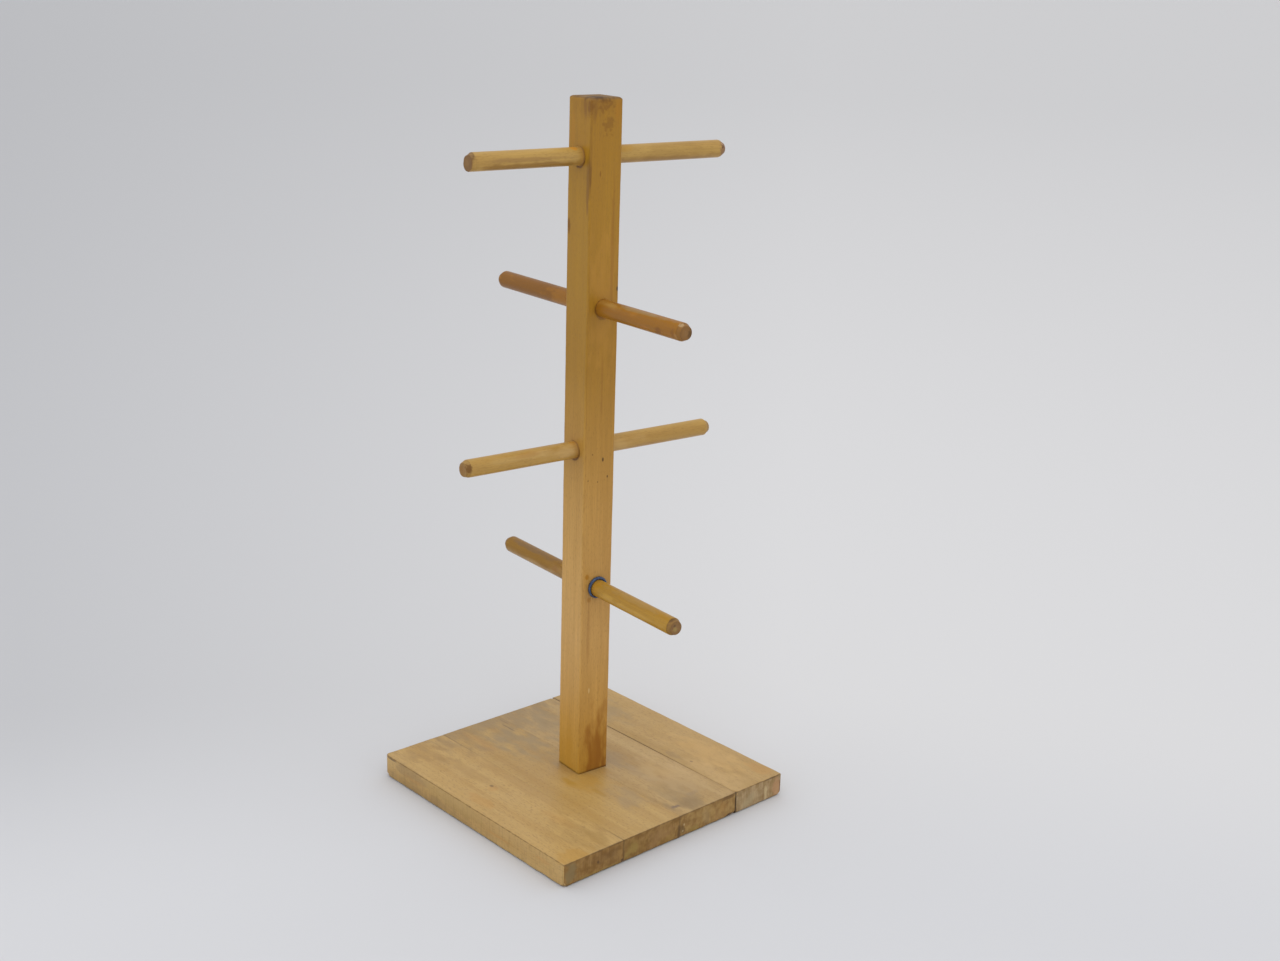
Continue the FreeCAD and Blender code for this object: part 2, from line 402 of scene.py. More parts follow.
def knock_off(points, corner, facing, depth):
    """Flattens what stands out past a plane that lies depth mm inside a corner: a chip."""
    corner, facing = Vector(corner), Vector(facing).normalized()
    for point in points:
        rough_depth = depth * (1 + 0.25 * noise.noise(point / 1.7 + corner))
        over = (point - corner).dot(facing) + rough_depth
        if over > 0:
            point -= facing * over


print("chips:", sum(len(chips) for chips in CHIPS.values()))

# %% [markdown]
# ## The base boards
# Each board is a worn block as wide as its solid, and keeps how near each point is to an edge or a
# joint. The last joint has opened. It is modelled by moving one board's edge, since a painted line
# would catch no light. Two boards share the sunk hole for the screw that holds the post.

# %% Shape the four boards
MESH_STEPS = (3.0, 2.5, 3.5)
NO_EDGE = 99
SINK, HOLE = 4.3, 2.3
SCREW_HOLE = [(-1, SINK), (1.0, SINK), (3.0, HOLE), (15, HOLE)]
boards = {}
for number, (left, right) in JOINTS.items():
    low, high = (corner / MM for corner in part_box(f"base_board_{number}"))
    points, faces = block_shell([mesh_lines(*side) for side in zip(low, high, MESH_STEPS)])
    marks = {"near_top": [], "near_bottom": [], "near_joint": []}
    for point in points:
        to_x = min([NO_EDGE] + [point.x - low.x] * (left is None) + [high.x - point.x] * (right is None))
        to_y = min(point.y - low.y, high.y - point.y)
        outside = min(to_x, to_y)
        upright = 0.35 * exp(-max(to_x, to_y) / 0.6)
        width = 0.55 if to_x < to_y else 0.8
        marks["near_top"].append(max(upright, exp(-max(high.z - point.z, outside) / width)))
        marks["near_bottom"].append(exp(-max(point.z - low.z, outside) / 1.5))
        marks["near_joint"].append(max(joint_dirt(joint, point.y) * exp(-abs(point.x - side.x) / 0.33)
                                       for joint, side in ((left, low), (right, high)) if joint))
    ease_edges(points, low, high, lambda *spot: board_radius(number, *spot))
    if left == "last":
        for point in points:
            gaping = ramp(point.y, -15, -55) * ramp(point.y, -84.5, -80)
            point.x -= 0.26 * gaping * ramp(point.x, low.x + 3, low.x)
    for chip in CHIPS.get(number, []):
        knock_off(points, *chip)
    board = new_piece(f"worn_board_{number}", points, faces, marks)
    if number in (2, 3):
        cut_out(board, *turned(SCREW_HOLE, 48))
    stand_in_for(board, f"base_board_{number}")
    boards[number] = board

# %% [markdown]
# ## The post
# The post is one square length of beech, planed, rounded along its edges and bored through four
# times, each bore a quarter turn on from the one above. It stands turned by five degrees on the base,
# as it was screwed on. The bores could be left out, since the dowels fill them, but a real hole lets
# light catch its rim and keeps the pieces apart, so they are cut.

# %% Shape and bore the post
TURN = radians(-5)
FOOT, TOP, HALF = 14.0, 409.0, 10.5
ARM_HEIGHTS = {1: 377.6, 2: 295.5, 3: 213.4, 4: 131.3}
BORE, PILOT = 5.1, 2.2
LIE_DOWN = Matrix.Rotation(pi / 2, 4, "Y")


def quarter_turn(arm):
    """Every second dowel lies a quarter turn round the post."""
    return Matrix.Rotation(pi / 2 * (1 - arm % 2), 4, "Z")


def post_radius(axis, sides, along):
    """The radius of the post's edges in mm: sharp at the foot, rounder round the top."""
    if axis != 2 and sides[1 if axis == 0 else 0] == 0:
        return 0.2
    slow, quick = wander(along, 24, 3 * sides[0] + sides[1] + axis), wander(along, 5, axis + sides[0])
    return max(0.7, (1.2 if axis == 2 else 2.0) * (1 + 0.18 * slow + 0.12 * quick))


low, high = Vector((-HALF, -HALF, 0)), Vector((HALF, HALF, TOP - FOOT))
points, faces = block_shell([mesh_lines(*side) for side in zip(low, high, (2.4, 2.4, 3.0))])
near_edge = []
for point in points:
    to_edge = sorted(min(point[i] - low[i], high[i] - point[i]) for i in range(3))[1]
    near_edge.append(exp(-to_edge / 1.5) * (0.5 if max(point.x, point.y) < 0 else 0.55))
ease_edges(points, low, high, post_radius)
post = new_piece("worn_post", points, faces, {"near_edge": near_edge})

cut_points, cut_faces = turned([(-24, PILOT), (26.6, PILOT)], 32)
for arm, height in ARM_HEIGHTS.items():
    points, faces = turned([(-20, BORE), (20, BORE)], 64)
    along = Matrix.Translation((0, 0, height - FOOT)) @ quarter_turn(arm) @ LIE_DOWN
    cut_faces += [tuple(i + len(cut_points) for i in face) for face in faces]
    cut_points += [along @ point for point in points]
cut_out(post, cut_points, cut_faces)
post.matrix_world = Matrix.Translation((0, 0, FOOT * MM)) @ Matrix.Rotation(TURN, 4, "Z")
stand_in_for(post, "post")

# %% [markdown]
# ## A dowel's form
# Each arm pair is one bought dowel, cut to length, bevelled at both ends by hand and glued in its
# bore, none of them quite centred. A cylinder with a bevel would be too even, so the bevel's shoulder
# and the saw cut wander with the angle, some tips are blunter, and varnish leaves a collar at the post.

# %% Tips, bevels and collars
DOWEL_RADIUS, BEVEL = 5.0, 3.4
DOWEL_ENDS = {1: (-81.0, 89.0), 2: (-84.2, 90.8), 3: (-84.0, 86.0), 4: (-85.0, 82.0)}
# How much of each tip's bevel is missing, in mm: all round, more at the bottom and more at the front.
BLUNTED = {1: ((0.2, 1.4, 1.6), (0.1, 0.1, 0.2)), 2: ((0.5, 0.2, 0.4), (0.2, 0.3, 0.0)),
           3: ((0.5, 0.4, 0.4), (0.1, 0.2, 0.0)), 4: ((0.6, 0.1, 0.2), (0.3, 0.0, 0.0))}
COLLARS = {1: (0.5, 0.35), 2: (0.22, 0.35), 3: (0.45, 0.3), 4: (0.0, 0.4)}
# A tip's profile: the distance from its end and the radius there, from the saw cut to the round.
TIP = [(0.14, 0.25), (0.1, 1.0), (0.05, 1.9), (0.0, 2.7), (0.03, 3.0), (0.14, 3.2), (0.4, 3.4), (0.85, 3.73),
       (1.3, 4.06), (1.75, 4.38), (2.15, 4.66), (2.45, 4.84), (2.8, 4.95), (3.3, 5.0), (5.0, 5.0)]
# Mesh lines that crowd where a dowel enters the post, as distances inside its face.
BY_POST = (0.1, 0.02, -0.02, -0.12, -0.3, -0.55, -0.9, -1.4, -2.2)


def dowel_profile(start, end):
    """Heights and radii along a dowel from one end to the other."""
    rest = [x for x in range(-83, 88, 3) if not 9 < abs(x) < 14]
    body = sorted(rest + [sign * (HALF - x) for x in BY_POST for sign in (1, -1)])
    body = [(x, DOWEL_RADIUS) for x in body if start + 6 < x < end - 6]
    return [(start + d, r) for d, r in TIP] + body + [(end - d, r) for d, r in reversed(TIP)]


def dowel_shape(arm, x, r, angle):
    """Makes a dowel uneven: wandering bevels, blunted tips and a collar of varnish."""
    end = int(x > 0)
    from_tip = abs(x - DOWEL_ENDS[arm][end])
    around = Vector((cos(angle), sin(angle), 0)) * 0.8
    uneven = noise.noise(around + Vector((0, 0, arm * 5 + end * 2.5)))
    if from_tip < BEVEL:
        slant = 0.07 * (1 + cos(angle - arm - end)) * r / DOWEL_RADIUS
        x += (1, -1)[end] * (0.4 * (1 + uneven) * sin(pi * from_tip / BEVEL) + slant)
        even, lower, ahead = BLUNTED[arm][end]
        front = sin(angle) * (1, -1)[arm % 2]
        blunt = even + lower * max(0, cos(angle)) + ahead * max(0, front)
        filled = r + blunt * max(0, 1 - from_tip / 2.6) * ramp(r, 0, 3.2)
        r = max(r, min(DOWEL_RADIUS - 0.01, filled))
    r *= 1 - 0.002 * (1 + noise.noise(around * 0.6 + Vector((0, 0, x / 22 + arm * 9))))
    if abs(x) > HALF:
        r += COLLARS[arm][end] * (0.75 + 0.6 * uneven) * exp((HALF - abs(x)) / 0.45)
    return x, r


print("dowel lengths, mm:", [end - start for start, end in DOWEL_ENDS.values()])

# %% [markdown]
# ## The dowels
# All four come from those two functions, each with its own ends. How far a tip is cut back is kept on
# its points, since that is where the dirt will lie: on the bevel, its shoulder and the sawn end.

# %% Turn the dowels
TIP_DIRT = {1: (1.0, 0.9), 2: (0.5, 0.6), 3: (0.4, 0.5), 4: (0.9, 0.7)}


def arm_place(arm):
    """Where a dowel's middle sits in the stand, with its length along its own X."""
    lift = Matrix.Translation((0, 0, ARM_HEIGHTS[arm] * MM))
    return lift @ Matrix.Rotation(TURN, 4, "Z") @ quarter_turn(arm)


dowels = {}
for arm, ends in DOWEL_ENDS.items():
    points, faces = turned(dowel_profile(*ends), 64, lambda *spot: dowel_shape(arm, *spot))
    points = [LIE_DOWN @ point for point in points]
    marks = {"bevelled": [], "shoulder": [], "sawn": []}
    for point in points:
        end = int(point.x > 0)
        from_tip = abs(point.x - ends[end])
        darkening = TIP_DIRT[arm][end] * (from_tip < BEVEL + 0.4)
        cut_back = DOWEL_RADIUS - hypot(point.y, point.z)
        rim = exp(-((from_tip - 0.3) / 0.25) ** 2) * ramp(cut_back, 2.2, 1.9)
        shoulder = exp(-((cut_back - 0.2) / 0.1) ** 2)
        marks["bevelled"].append(darkening * ramp(cut_back, 0.05, 0.3))
        marks["shoulder"].append(darkening * max(rim, shoulder))
        marks["sawn"].append(darkening * ramp(from_tip, 0.6, 0.2))
    dowel = new_piece(f"bevelled_dowel_{arm}", points, faces, marks)
    dowel.matrix_world = arm_place(arm)
    stand_in_for(dowel, f"arm_{arm}")
    dowels[arm] = dowel

# %% [markdown]
# ## The elastic ring and the screw
# A dark blue elastic ring is pushed onto the lowest dowel, up against the post. It is a plain round
# section, a little thinner below. The screw can't be seen in the photograph, but something has to
# hold the post, and a countersunk wood screw from below is the usual way. Only its slotted head
# shows, from underneath, yet the thread costs little: the radius follows a helix.

# %% Stretch the ring and thread the screw
RING_ARM, RING_PLACE, RING_INSIDE, RING_HALF = 4, -11.45, 5.05, 0.9


def ring_shape(height, radius, angle):
    """Thins the ring's section, most where it is lowest."""
    return height, RING_INSIDE + 0.01 + (radius - RING_INSIDE) * (0.8 - 0.18 * cos(angle))


section = [2 * pi * i / 20 for i in range(20)]
section = [(RING_HALF * sin(a), RING_INSIDE + RING_HALF * (1 + cos(a))) for a in section]
points, faces = turned(section, 72, ring_shape, closed=True)
push_on = Matrix.Translation((RING_PLACE, 0, 0)) @ LIE_DOWN
ring = new_piece("elastic_ring", [push_on @ point for point in points], faces)
ring.matrix_world = arm_place(RING_ARM)
stand_in_for(ring, "arm_ring")

PITCH, CREST, ROOT, NECK, SHANK, POINT, TAPER = 1.6, 2.08, 1.5, 9, 2.1, 38.6, 6


def thread(height, radius, angle):
    """The shank's radius follows a helix above the plain neck and tapers to the point."""
    if height <= NECK:
        return height, radius
    lap = (height / PITCH - angle / (2 * pi)) % 1
    crest = ROOT + (CREST - ROOT) * max(0, 1 - abs(lap - 0.5) / 0.32)
    return height, min(radius, crest * min(1, max(0.1, (POINT - height) / TAPER)))


head = [(0.6, 0.3), (0.6, 2.0), (0.6, 3.6), (0.66, 3.95), (0.78, 4.08), (1.0, 4.1), (2.0, 3.1), (3.0, SHANK)]
shank = [(3.0 + 0.2 * i, SHANK) for i in range(1, 178)]
slot_lines = [(-5, 5), (-0.6, 0.6), (-1, 1.8)]
screw = new_piece("countersunk_screw", *turned(head + shank, 40, thread))
cut_out(screw, *block_shell(slot_lines))
stand_in_for(screw, "post_screw")

# %% [markdown]
# ## What beech looks like
# Beech is a pale, close-grained hardwood. Its growth bands are soft and about a centimetre wide, its
# fibres show as fine streaks, and its rays leave short dark flecks, a few millimetres long, that tell
# it from other woods. All three are noise, pulled out along the grain by different amounts. A wave
# texture would give clear rings, as pine has, which beech lacks.

# %% Bands, streaks and flecks of beech
# Width in mm, scale along the grain, detail, and the noise at which each starts and is full.
# Real fibre streaks are about 0.3 mm wide: drawn at 0.9 mm, because finer ones would not show.
FIGURE = {"bands": (9, 0.06, 2, 0.3, 0.7), "streaks": (0.9, 0.03, 3, 0.3, 0.7),
          "flecks": (0.6, 0.25, 0, 0.58, 0.76)}


def pulled_noise(add, place, shift, along, ratio, width, detail):
    """Noise with bumps about width mm wide, pulled out along one axis. shift picks another stretch."""
    scale = [ratio if axis == along else 1.0 for axis in range(3)]
    lay = add("Mapping", {"Location": shift, "Scale": scale}, place)
    return add("TexNoise", {"Scale": 1 / (width * MM), "Detail": detail}, lay)


def beech_figure(add, place, along, seed, strengths):
    """Growth bands, fibre streaks and ray flecks of beech, each from 0 to its strength."""
    made = []
    for (width, ratio, detail, low, high), most in zip(FIGURE.values(), strengths):
        shift = (seed * 0.37, seed * 0.53, seed * 0.71)
        grain = pulled_noise(add, place, shift, along, ratio, width, detail)
        made.append(add("MapRange", {START: low, FULL: high, MOST: most}, grain))
    return made


print("beech shows", ", ".join(FIGURE))

# %% [markdown]
# ## What use leaves on it
# Spots, runs and rubbed edges are patches with torn outlines. Each is a soft ellipsoid placed in
# millimetres, and noise tears its rim. An image could hold them, but a patch is moved by one line.

# %% Patches, rubbed edges and satin varnish
def raggedness(add, place, size, amount, seed, along=0, ratio=1.0):
    """Noise around zero that tears the outline of spots, with bumps about size mm wide."""
    torn = pulled_noise(add, place, (seed, seed * 1.7, seed * 2.3), along, ratio, size, 2.0)
    return add("MapRange", {START: 0.25, FULL: 0.75, LEAST: -amount, MOST: amount}, torn)


def patch(add, place, torn, centre, size, strength, soft=0.6):
    """A ragged spot, strength at its middle and 0 outside. centre and size (half widths) are in mm."""
    fitted = {"Location": Vector(centre) * MM, "Scale": Vector(size) * MM}
    spot = add("Mapping", {"vector_type": "TEXTURE", **fitted}, place)
    away = add("VectorMath", "LENGTH", spot).outputs["Value"]
    rim = add("Math", "ADD", away, torn)
    return add("MapRange", {**EASED, START: 1.0, FULL: 1.0 - soft, MOST: strength}, rim)


def on_face(axis, level, marks, depth=3):
    """Marks written flat, placed on a face that lies at this level of an axis, in mm."""
    placed = []
    for shade, a, b, half_a, half_b, *rest in marks:
        centre, size = [a, b], [half_a, half_b]
        centre.insert(axis, level)
        size.insert(axis, depth)
        placed.append((shade, centre, size, *rest))
    return placed


def marked(add, place, torn, marks):
    """Layers of patches from marks, which hold a shade and then what a patch takes."""
    return [(patch(add, place, torn, *mark), shade) for shade, *mark in marks]


def rubbed(add, mark, torn, low, high, most):
    """A mask from numbers kept on the mesh, torn where they are small."""
    kept = add("Attribute", {"attribute_name": mark}).outputs["Fac"]
    rim = add("Math", "ADD", kept, torn)
    level = add("MapRange", {START: low, FULL: high, MOST: most}, rim)
    return add("Math", "MULTIPLY", level, kept)


def satin(add, place, size, low, high):
    """The sheen of varnish: a roughness that drifts in clouds about size mm wide."""
    cloud = add("TexNoise", {"Scale": 1 / (size * MM), "Detail": 3.0}, place)
    return add("MapRange", {START: 0.3, FULL: 0.7, LEAST: low, MOST: high}, cloud)


VARNISH = {"IOR": 1.5}
THIN_VARNISH = {**VARNISH, "Specular IOR Level": 0.3}
print("varnish:", VARNISH)

# %% [markdown]
# ## Varnished beech, worn: the boards
# The boards were planed, glued up, sanded and brushed with a clear varnish that has yellowed. On top
# it gives a satin sheen that use has dulled to grey in the middle and left yellow at the edges. The
# ends are cross-cut, so they drink varnish and look dark and dull, with the fibres as short upright
# streaks. Round the foot of the post some glue and varnish ran out and dried. The marks are placed one
# by one where the photograph has them, because wear is what makes this base this base.

# %% Tones and marks of the boards
BASE_FRONT = -85
BOARD_TONES = {1: ("#C7A464", "#BA9453"), 2: ("#C29F5F", "#B48F50"),
               3: ("#C1A16A", "#B08E56"), 4: ("#C09D61", "#B39053")}
END_TONES = {1: ("#9B763C", "#845E23"), 2: ("#977438", "#805B22"),
             3: ("#A68449", "#8C6831"), 4: ("#AF946A", "#977A4C")}
ORANGE, GREYED, MAUVE, SOOT = "#BC8A42", "#9C8560", "#9A8464", "#4A3320"
OLIVE, SAWN, PALE, GLUED = "#9A803C", "#6E4B20", "#C4AD80", "#B98F44"
# A mark: shade, centre and half widths in mm, strength and, for some, how soft its rim is.
# Marks on top are written flat, as x and y, and those on the front ends as x and z.
BACK_MARK = ("#7B6850", -6, 84, 95, 52, 0.42, 1.0)
TOP_MARKS = {
    1: [("#AC874A", -44, -10, 7, 74, 0.5), ("#A8844A", -59, 32, 5.5, 36, 0.45),
        ("#A5813F", -52, -74, 6, 12, 0.4), ("#A88140", -66, 72, 16, 18, 0.4),
        ("#B98A34", -73, -80, 13, 10, 0.5), (ORANGE, -61.7, 8, 4, 5, 0.4), (ORANGE, -76, 2, 5, 14, 0.35),
        (ORANGE, -55, -45, 5, 16, 0.25), ("#5E4528", -60, 11.7, 1.3, 1.9, 0.6),
        ("#8A6E42", -57, -66, 20, 36, 0.28, 1.0)],
    2: [(GREYED, -9, 48, 24, 48, 0.65, 0.95), (MAUVE, -8, -50, 14, 24, 0.45, 0.95),
        (GLUED, -16, -19, 14, 15, 0.62), ("#AE8430", -21, -13, 2.8, 8, 0.65),
        ("#AE8638", -16.2, -33, 1.9, 9, 0.6), (ORANGE, -30, 62, 4, 22, 0.3),
        ("#5E4A32", -4.4, 67, 0.7, 13, 0.55), ("#5E4A32", -1.2, 74, 0.5, 6, 0.5)],
    3: [(GREYED, 18, 55, 24, 40, 0.6, 0.95), (MAUVE, 17, -8, 14, 25, 0.55, 0.95),
        (MAUVE, 21, -32, 12, 20, 0.35, 0.95), ("#B8934D", 28, -34, 10, 16, 0.4),
        ("#937A50", 20, -60, 20, 23, 0.55, 0.9), ("#89704A", 16, -76, 18, 11, 0.65, 0.9),
        ("#6E5A50", 7.2, -75, 3.4, 3, 0.75), ("#7C6657", 26, -69, 6, 2.4, 0.25), (GLUED, 4, -15, 5, 7, 0.4),
        ("#CEAD7A", 31, -45, 24, 40, 0.42, 1.0)],
    4: [(GREYED, 60, 52, 18, 38, 0.5, 0.95), ("#CBA363", 70, -40, 16, 44, 0.6, 0.9),
        (SOOT, 53.4, -39.5, 0.9, 1.2, 0.6), (ORANGE, 79, -72, 7, 12, 0.4), ("#8C7350", 50, -26, 4, 10, 0.3),
        ("#D8B47C", 53, -62, 14, 38, 0.35, 1.0)],
}
SIDE_MARKS = {
    1: [(OLIVE, (-85, 14, 10), (3, 40, 6), 0.25), ("#8C6F44", (-85, 58, 10), (3, 18, 6), 0.5),
        (ORANGE, (-85, -30, 6.3), (3, 14, 1.3), 0.5), (ORANGE, (-85, 55, 8), (3, 12, 2), 0.35),
        (ORANGE, (-85, -66, 9), (3, 10, 1.6), 0.4), ("#5F4526", (-84.5, 78, 13), (2, 6, 0.9), 0.8),
        ("#7A5F38", (-85, 40, 2.5), (3, 75, 5), 0.4, 1.0),
        ("#C9A468", (-85, 0, 11), (3, 100, 4.5), 0.25, 1.0)],
    4: [("#5A4028", (84.7, -84.7, 8), (1.4, 1.4, 7), 0.6)],
}
END_MARKS = {
    1: [(OLIVE, -60, 0.8, 24, 2.2, 0.5), (SAWN, -58, 9, 13, 4, 0.3), ("#857148", -80.5, 8, 5.5, 8, 0.75),
        (SOOT, -60.7, 7.3, 1.0, 1.2, 0.6), (SOOT, -43, 2, 1.3, 1.6, 0.75),
        ("#5A4020", -50, 7, 10, 9, 0.25, 1.0)],
    2: [(OLIVE, -35.5, 6.5, 6, 7, 0.6), (SAWN, -17, 7, 9, 5, 0.3), ("#9F7F33", -8, 3, 6, 3, 0.4),
        ("#B08A55", -13, 7, 18, 10, 0.4, 1.0), ("#4F3718", 0.6, 4, 2.2, 5, 0.65)],
    3: [("#59401D", 3.2, 4.5, 2.4, 5.5, 0.55), (PALE, 4.4, 7.5, 1.0, 1.5, 0.75),
        (PALE, 3.4, 3.7, 0.8, 1.0, 0.5), ("#AC956A", 22, 6, 4.5, 8, 0.25), (OLIVE, 13, 2, 6, 3, 0.5),
        ("#A0742E", 35, 8, 5, 4, 0.5), (SAWN, 39.5, 12.8, 7, 1.4, 0.7), ("#B8925A", 34, 5, 12, 9, 0.35, 1.0),
        (SOOT, 41.8, 1.2, 4.2, 1.7, 0.95)],
    4: [("#C0AC88", 58, 5, 16, 9, 0.3, 1.0), ("#8F744C", 49, 12, 3.2, 2.4, 0.6),
        (PALE, 71.6, 5.5, 1.3, 9, 0.75), ("#BA8C62", 81, 6.5, 5.5, 9, 0.65), ("#A2906A", 58, 5, 6, 5, 0.4),
        ("#5A4028", 84.3, 8, 1.2, 7, 0.6), ("#5A4028", 76, 13.6, 9, 0.8, 0.6)],
}
print("marks on the tops:", sum(map(len, TOP_MARKS.values())))

# %% [markdown]
# ## Long grain and end grain
# Which way a face looks tells end grain from long grain, so one finish carries both. Two materials on
# a board would leave a hard line at the edge, where the real varnish runs round it.

# %% Long grain and end grain of a board
def long_grain(add, place, facing, torn, number):
    """The planed faces and long sides: their colour with its marks, and the streaks for the relief."""
    bands, streaks, flecks = beech_figure(add, place, 1, number, (1.0, 0.2, 0.33))
    # The saw and the planer left faint upright bars on the long sides, about 2 mm apart.
    bars = add("MapRange", {START: 0.0, FULL: 0.7, MOST: 0.3},
               raggedness(add, place, 1.5, 1.0, number, 2, 0.1))
    sideways = add("Math", "ABSOLUTE", facing["X"])
    aside = add("MapRange", {START: 0.6, FULL: 0.9}, sideways)
    barred = add("Math", "MULTIPLY", bars, aside)
    pale, deep = BOARD_TONES[number]
    layers = [(bands, deep), (streaks, "#8F6A36"), (flecks, "#8A6436"), (barred, "#8C6C30")]
    top_marks = on_face(2, FOOT, [BACK_MARK] + TOP_MARKS[number], depth=4)
    layers += marked(add, place, torn, top_marks + SIDE_MARKS.get(number, []))
    return lay_over(add, pale, layers), streaks


def end_grain(add, place, torn, number):
    """Cross-cut ends: blotches a few mm wide and short upright streaks."""
    blotch = add("MapRange", {START: -0.5, FULL: 0.5}, raggedness(add, place, 3.5, 0.9, number + 4))
    fibres = add("MapRange", {START: -0.2, FULL: 0.8, MOST: 0.38},
                 raggedness(add, place, 0.8, 1.0, number + 6, 2, 0.12))
    pale, deep = END_TONES[number]
    marks = on_face(1, BASE_FRONT, END_MARKS[number])
    return lay_over(add, pale, [(blotch, deep), (fibres, SAWN)] + marked(add, place, torn, marks))


# %% Finish the boards
for number, board in boards.items():
    finish, add, where = new_finish(f"varnished_beech_board_{number}", VARNISH)
    place = where["Object"]
    facing = add("SeparateXYZ", {}, where["Normal"]).outputs
    torn = raggedness(add, place, 5, 0.45, number, 1, 0.4)
    wood, streaks = long_grain(add, place, facing, torn, number)
    across = add("Math", "ABSOLUTE", facing["Y"])
    at_end = add("MapRange", {START: 0.55, FULL: 0.8}, across)
    ends = end_grain(add, place, torn, number)
    colour = add("Mix", {"data_type": "RGBA"}, at_end, links={BELOW: wood, ABOVE: ends}).outputs[MIXED]

    # Dirt: a brown line on the upper arrises and dark in the joints. Grey along the bottom arrises is
    # painted shade, where the base meets the floor.
    smear = raggedness(add, place, 3, 0.35, number + 9)
    upper = rubbed(add, "near_top", smear, 0.25, 0.95, 0.8)
    # Painted shade: grey along the bottom arrises, where the base meets the floor.
    lower = rubbed(add, "near_bottom", smear, 0.25, 0.95, 0.85)
    joint = add("Attribute", {"attribute_name": "near_joint"}).outputs["Fac"]
    below = add("MapRange", {START: -0.6, FULL: -0.9, MOST: 0.45}, facing["Z"])
    darkening = [(upper, "#5A4020"), (lower, "#766B5C"), (joint, "#3A2714"), (below, "#8A7350")]

    # The sheen: satin varnish on top, glossier where the glue ran, dull where it is worn and on the ends.
    run = patch(add, place, torn, (-10, -18, 14), (18, 16, 4), 0.7)
    wet = add("Mix", {"B": 0.24}, run, links={"A": satin(add, place, 14, 0.36, 0.54)})
    dull = add("Math", "MAXIMUM", at_end, upper)
    gloss = add("Mix", {"B": 0.75}, dull, links={"A": wet})
    put_on(board, finish, lay_over(add, colour, darkening), gloss, streaks, strength=0.6)
print("boards finished:", len(boards))

# %% [markdown]
# ## Varnished beech, handled: the post
# The post has the same varnish on long grain all round, so it is smoother and more golden than the
# base. Hands have browned its upper half and speckled its top, varnish pooled orange round the bores,
# and the foot is streaked red-brown where glue and stain ran down. Round each bore a dark ring, set a
# little low, is dirt and painted shade where the dowel meets the post. The tone changes along its
# height, partly from the browning and partly as painted light: the lower half is painted paler, as lit
# by the pale floor. So a ramp of tones from foot to top carries it, and the marks lie over that.

# %% Tones and marks of the post
FOOT_TONE, TOP_TONE = "#CE9F40", "#AE8024"
TONES_BETWEEN = {0.1: "#D4A556", 0.22: "#DAAD66", 0.42: "#D0A257", 0.63: "#B08326", 0.85: "#B58828"}
STAINED, RAN, RESIN = "#784A12", "#8A5318", "#43290F"
# Torn marks follow the grain, speckled ones are dirt from fingers, and small ones have plain rims.
# Those on the side towards -Y are written flat, as x and z.
FRONT_MARKS = [
    ("#C28E3A", 0, 284, 13, 54, 0.4, 0.9), ("#955F1C", 2, 4, 12.5, 50, 0.8, 0.9),
    (RAN, -2.5, 4, 2.2, 30, 0.25, 0.8), (RAN, 3.6, 8, 2.4, 32, 0.3, 0.8),
    ("#7E4814", 7.6, 6, 2.2, 26, 0.35, 0.8), (RAN, 0.5, 232, 1.2, 40, 0.25), (RAN, 5.5, 320, 1.4, 50, 0.3),
    (RAN, -5.5, 90, 1.1, 34, 0.25), ("#B07618", 7, 388, 2.6, 9, 0.5), ("#A66E16", -7.1, 125, 1.5, 1.8, 0.75),
    ("#A66E16", -5.3, 110.5, 2.0, 2.2, 0.6),
]
TORN_MARKS = [
    ("#BC8B2E", (-HALF, 1, 6), (3, 10, 30), 0.5, 0.9), ("#B27C20", (-HALF, 6, 374), (3, 2, 14), 0.45),
    ("#86591C", (0, 0, 396), (17, 17, 15), 0.4, 0.9), ("#7E5420", (-9, -9, 391), (9, 9, 11), 0.55, 0.8),
    ("#7A5222", (-HALF, -8.9, 349), (1.6, 2.6, 17), 0.55),
    ("#7A5222", (-10.2, -10.2, 368), (1.2, 1.2, 22), 0.3), (STAINED, (-HALF, 8.5, 325), (2, 1.6, 5), 0.7),
]
SPECKLED_MARKS = [
    (STAINED, (-0.6, -HALF, 391), (5.5, 3, 5.5), 0.45, 0.8), (STAINED, (1, -HALF, 381), (5, 3, 6), 0.4, 0.8),
    (STAINED, (-HALF, -HALF, 390.5), (3.8, 3.8, 5.5), 0.45, 0.8),
]
SMALL_FRONT_MARKS = [
    (STAINED, -3.7, 355, 0.7, 2.2, 0.5), (RESIN, 2.3, 194.2, 0.8, 1.7, 0.9),
    (RESIN, 5.7, 183.7, 0.7, 1.0, 0.8), (RESIN, -5, 198.1, 0.6, 0.8, 0.55),
    (RESIN, -7.7, 183, 0.6, 0.7, 0.55), (RESIN, -1.1, 181.4, 0.6, 0.7, 0.55),
    (RESIN, 9.6, 291.6, 1.0, 1.8, 0.9), ("#D9BC80", -4, 53, 0.6, 2.4, 0.7),
]
print("marks on the post's front:", len(FRONT_MARKS + SMALL_FRONT_MARKS))

# %% Finish the post
finish, add, where = new_finish("varnished_beech_post", THIN_VARNISH)
place = where["Object"]
at = add("SeparateXYZ", {}, place).outputs
facing = add("SeparateXYZ", {}, where["Normal"]).outputs
# The tones up the post: browner above from handling, and paler below as painted light from the pale floor.
rise = add("MapRange", {FULL: (TOP - FOOT) * MM}, at["Z"])
tones = add("ValToRGB", {}, rise)
stops = tones.color_ramp.elements
for share, shade in TONES_BETWEEN.items():
    stops.new(share).color = linear(shade)
stops[0].color, stops[-1].color = linear(FOOT_TONE), linear(TOP_TONE)

bands, streaks, flecks = beech_figure(add, place, 2, 11, (0.3, 0.22, 0.2))
